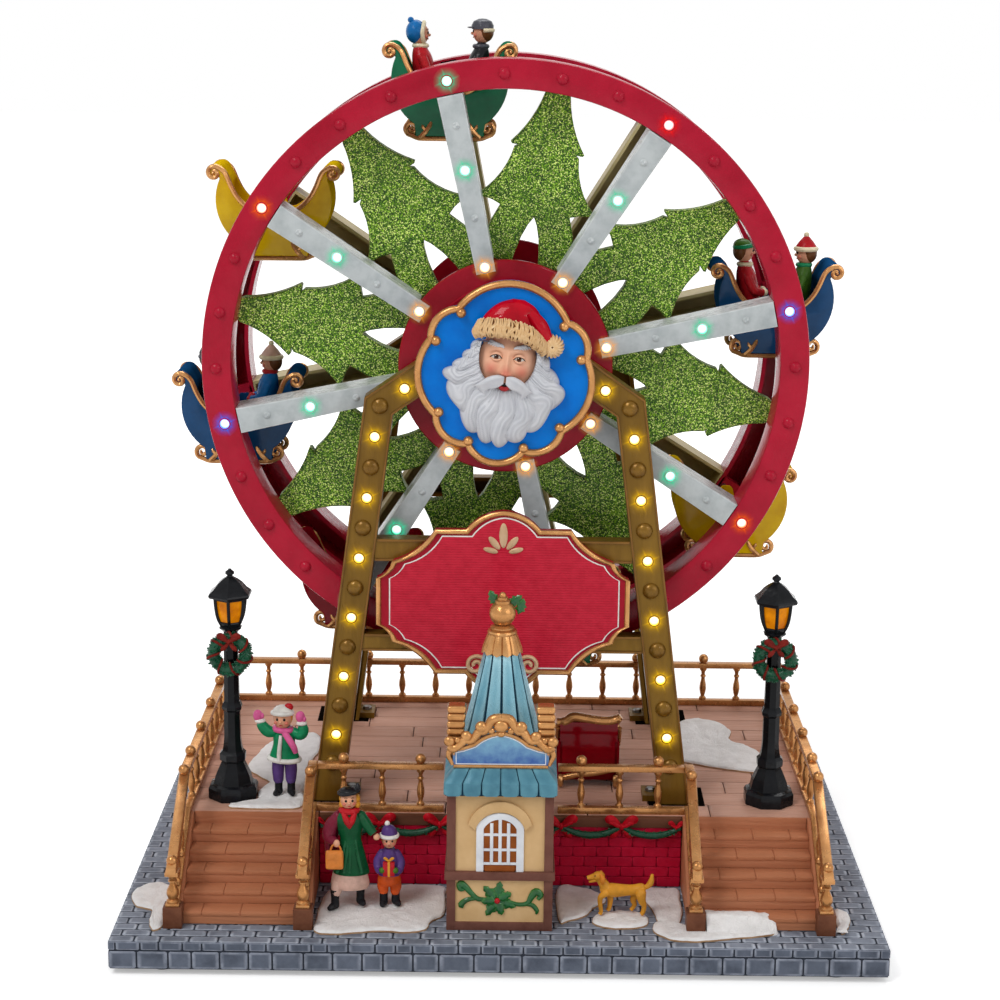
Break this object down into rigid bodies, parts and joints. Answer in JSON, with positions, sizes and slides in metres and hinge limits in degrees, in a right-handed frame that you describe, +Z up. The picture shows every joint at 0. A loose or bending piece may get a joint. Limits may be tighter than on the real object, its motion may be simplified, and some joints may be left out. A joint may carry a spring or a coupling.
{
  "type": "musical ferris wheel",
  "caption": "Table-top ferris wheel with hanging sleighs between two A-shaped frames, on a decked base with stairs, lamps and a ticket booth; motor driven, with slide switches.",
  "frame": {"origin": "middle of the base's rectangle, on the surface that the rubber feet stand on", "axes": "+Z up; the front with booth and stairs faces -Y; +X to the right seen from the front"},
  "size_m": [0.35, 0.25, 0.4204],
  "materials": {
    "base_slate": "painted cobble stones, satin",
    "cover_black": "fine grain",
    "foot_rubber": "matt",
    "screw_steel": "zinc plated",
    "board_green": "solder resist",
    "part_black": "satin",
    "knob_white": "smooth",
    "deck_brown": "painted planks",
    "brick_red": "painted bricks",
    "stair_brown": "painted wood grain",
    "rail_gold": "antique gold paint",
    "fir_green": "moulded needles",
    "lamp_black": "gloss paint",
    "pane_amber": "lit amber panes",
    "frame_bronze": "antique bronze paint",
    "ring_red": "gloss paint",
    "spoke_silver": "pearl paint",
    "spoke_tan": "plain",
    "tree_green": "glitter over paint",
    "bulb_clear": "lit bulbs",
    "shaft_steel": "ground",
    "bush_white": "plain",
    "motor_grey": "plain",
    "sleigh_green": "gloss paint, gold trim",
    "sleigh_blue": "gloss paint, gold trim",
    "sleigh_yellow": "gloss paint, gold trim",
    "sleigh_red": "gloss paint, gold trim",
    "sign_red": "gloss paint, gold border",
    "medal_blue": "gloss paint",
    "trim_gold": "antique gold paint",
    "head_paint": "painted features",
    "booth_cream": "cream panels in a brown frame",
    "booth_brown": "painted wood",
    "booth_teal": "gloss paint",
    "snow_white": "rough, with glitter",
    "coat_paint": "painted clothes",
    "dog_gold": "painted fur"
  },
  "bodies": {
    "base": {"base_shell": "base_slate", "bottom_cover": "cover_black", "battery_door": "cover_black", "battery_box": "cover_black", "rubber_feet": "foot_rubber", "case_screws": "screw_steel", "circuit_board": "board_green", "speaker": "part_black", "switch_bodies": "part_black", "deck": "deck_brown", "front_wall": "brick_red", "stairs": "stair_brown", "side_railings": "rail_gold", "cross_railings": "rail_gold", "inner_railings": "rail_gold", "newel_blocks": "stair_brown", "garland": "fir_green", "lamp_posts": "lamp_black", "lamp_panes": "pane_amber", "wreaths": "fir_green", "a_frame_front": "frame_bronze", "a_frame_rear": "frame_bronze", "frame_lamps": "bulb_clear", "foot_bolts": "screw_steel", "shaft_bushes": "bush_white", "gear_motor": "motor_grey", "deck_sleigh": "sleigh_red", "sign_board": "sign_red", "medallion_plate": "medal_blue", "medallion_rim": "trim_gold", "medallion_head": "head_paint", "booth_body": "booth_cream", "booth_window": "booth_brown", "booth_awning": "booth_teal", "booth_crest": "trim_gold", "booth_spire": "booth_teal", "booth_finial": "trim_gold", "snow_patches": "snow_white", "figure_girl": "coat_paint", "figure_woman": "coat_paint", "figure_child": "coat_paint", "figure_dog": "dog_gold"},
    "wheel": {"front_ring": "ring_red", "rear_ring": "ring_red", "front_spokes": "spoke_silver", "rear_spokes": "spoke_tan", "front_hub": "ring_red", "rear_hub": "ring_red", "trees": "tree_green", "wheel_lamps": "bulb_clear", "drive_shaft": "shaft_steel"},
    "sleigh_1": {"sleigh_1": "sleigh_green"},
    "sleigh_2": {"sleigh_2": "sleigh_blue"},
    "sleigh_3": {"sleigh_3": "sleigh_yellow"},
    "sleigh_4": {"sleigh_4": "sleigh_green"},
    "sleigh_5": {"sleigh_5": "sleigh_red"},
    "sleigh_6": {"sleigh_6": "sleigh_blue"},
    "sleigh_7": {"sleigh_7": "sleigh_yellow"},
    "power_switch": {"power_switch": "knob_white"},
    "music_switch": {"music_switch": "knob_white"}
  },
  "joints": [
    {"name": "wheel_turn", "type": "hinge", "parent": "base", "child": "wheel", "pos_m": [0, 0.021, 0.2604], "axis": [0, 1, 0], "continuous": true},
    {"name": "sleigh_1_hang", "type": "hinge", "parent": "wheel", "child": "sleigh_1", "pos_m": [-0.02734, 0.021, 0.38903], "axis": [0, 1, 0], "continuous": true},
    {"name": "sleigh_2_hang", "type": "hinge", "parent": "wheel", "child": "sleigh_2", "pos_m": [0.12863, 0.021, 0.28774], "axis": [0, 1, 0], "continuous": true},
    {"name": "sleigh_3_hang", "type": "hinge", "parent": "wheel", "child": "sleigh_3", "pos_m": [0.11028, 0.021, 0.18878], "axis": [0, 1, 0], "continuous": true},
    {"name": "sleigh_4_hang", "type": "hinge", "parent": "wheel", "child": "sleigh_4", "pos_m": [0.02734, 0.021, 0.13177], "axis": [0, 1, 0], "continuous": true},
    {"name": "sleigh_5_hang", "type": "hinge", "parent": "wheel", "child": "sleigh_5", "pos_m": [-0.07162, 0.021, 0.15011], "axis": [0, 1, 0], "continuous": true},
    {"name": "sleigh_6_hang", "type": "hinge", "parent": "wheel", "child": "sleigh_6", "pos_m": [-0.12863, 0.021, 0.23306], "axis": [0, 1, 0], "continuous": true},
    {"name": "sleigh_7_hang", "type": "hinge", "parent": "wheel", "child": "sleigh_7", "pos_m": [-0.11028, 0.021, 0.33202], "axis": [0, 1, 0], "continuous": true},
    {"name": "power_slide", "type": "slide", "parent": "base", "child": "power_switch", "axis": [1, 0, 0], "range_m": [0, 0.005]},
    {"name": "music_slide", "type": "slide", "parent": "base", "child": "music_switch", "axis": [1, 0, 0], "range_m": [0, 0.005]}
  ],
  "couplings": [
    {"joint": "sleigh_1_hang", "follows": "wheel_turn", "ratio": -1},
    {"joint": "sleigh_2_hang", "follows": "wheel_turn", "ratio": -1},
    {"joint": "sleigh_3_hang", "follows": "wheel_turn", "ratio": -1},
    {"joint": "sleigh_4_hang", "follows": "wheel_turn", "ratio": -1},
    {"joint": "sleigh_5_hang", "follows": "wheel_turn", "ratio": -1},
    {"joint": "sleigh_6_hang", "follows": "wheel_turn", "ratio": -1},
    {"joint": "sleigh_7_hang", "follows": "wheel_turn", "ratio": -1}
  ]
}
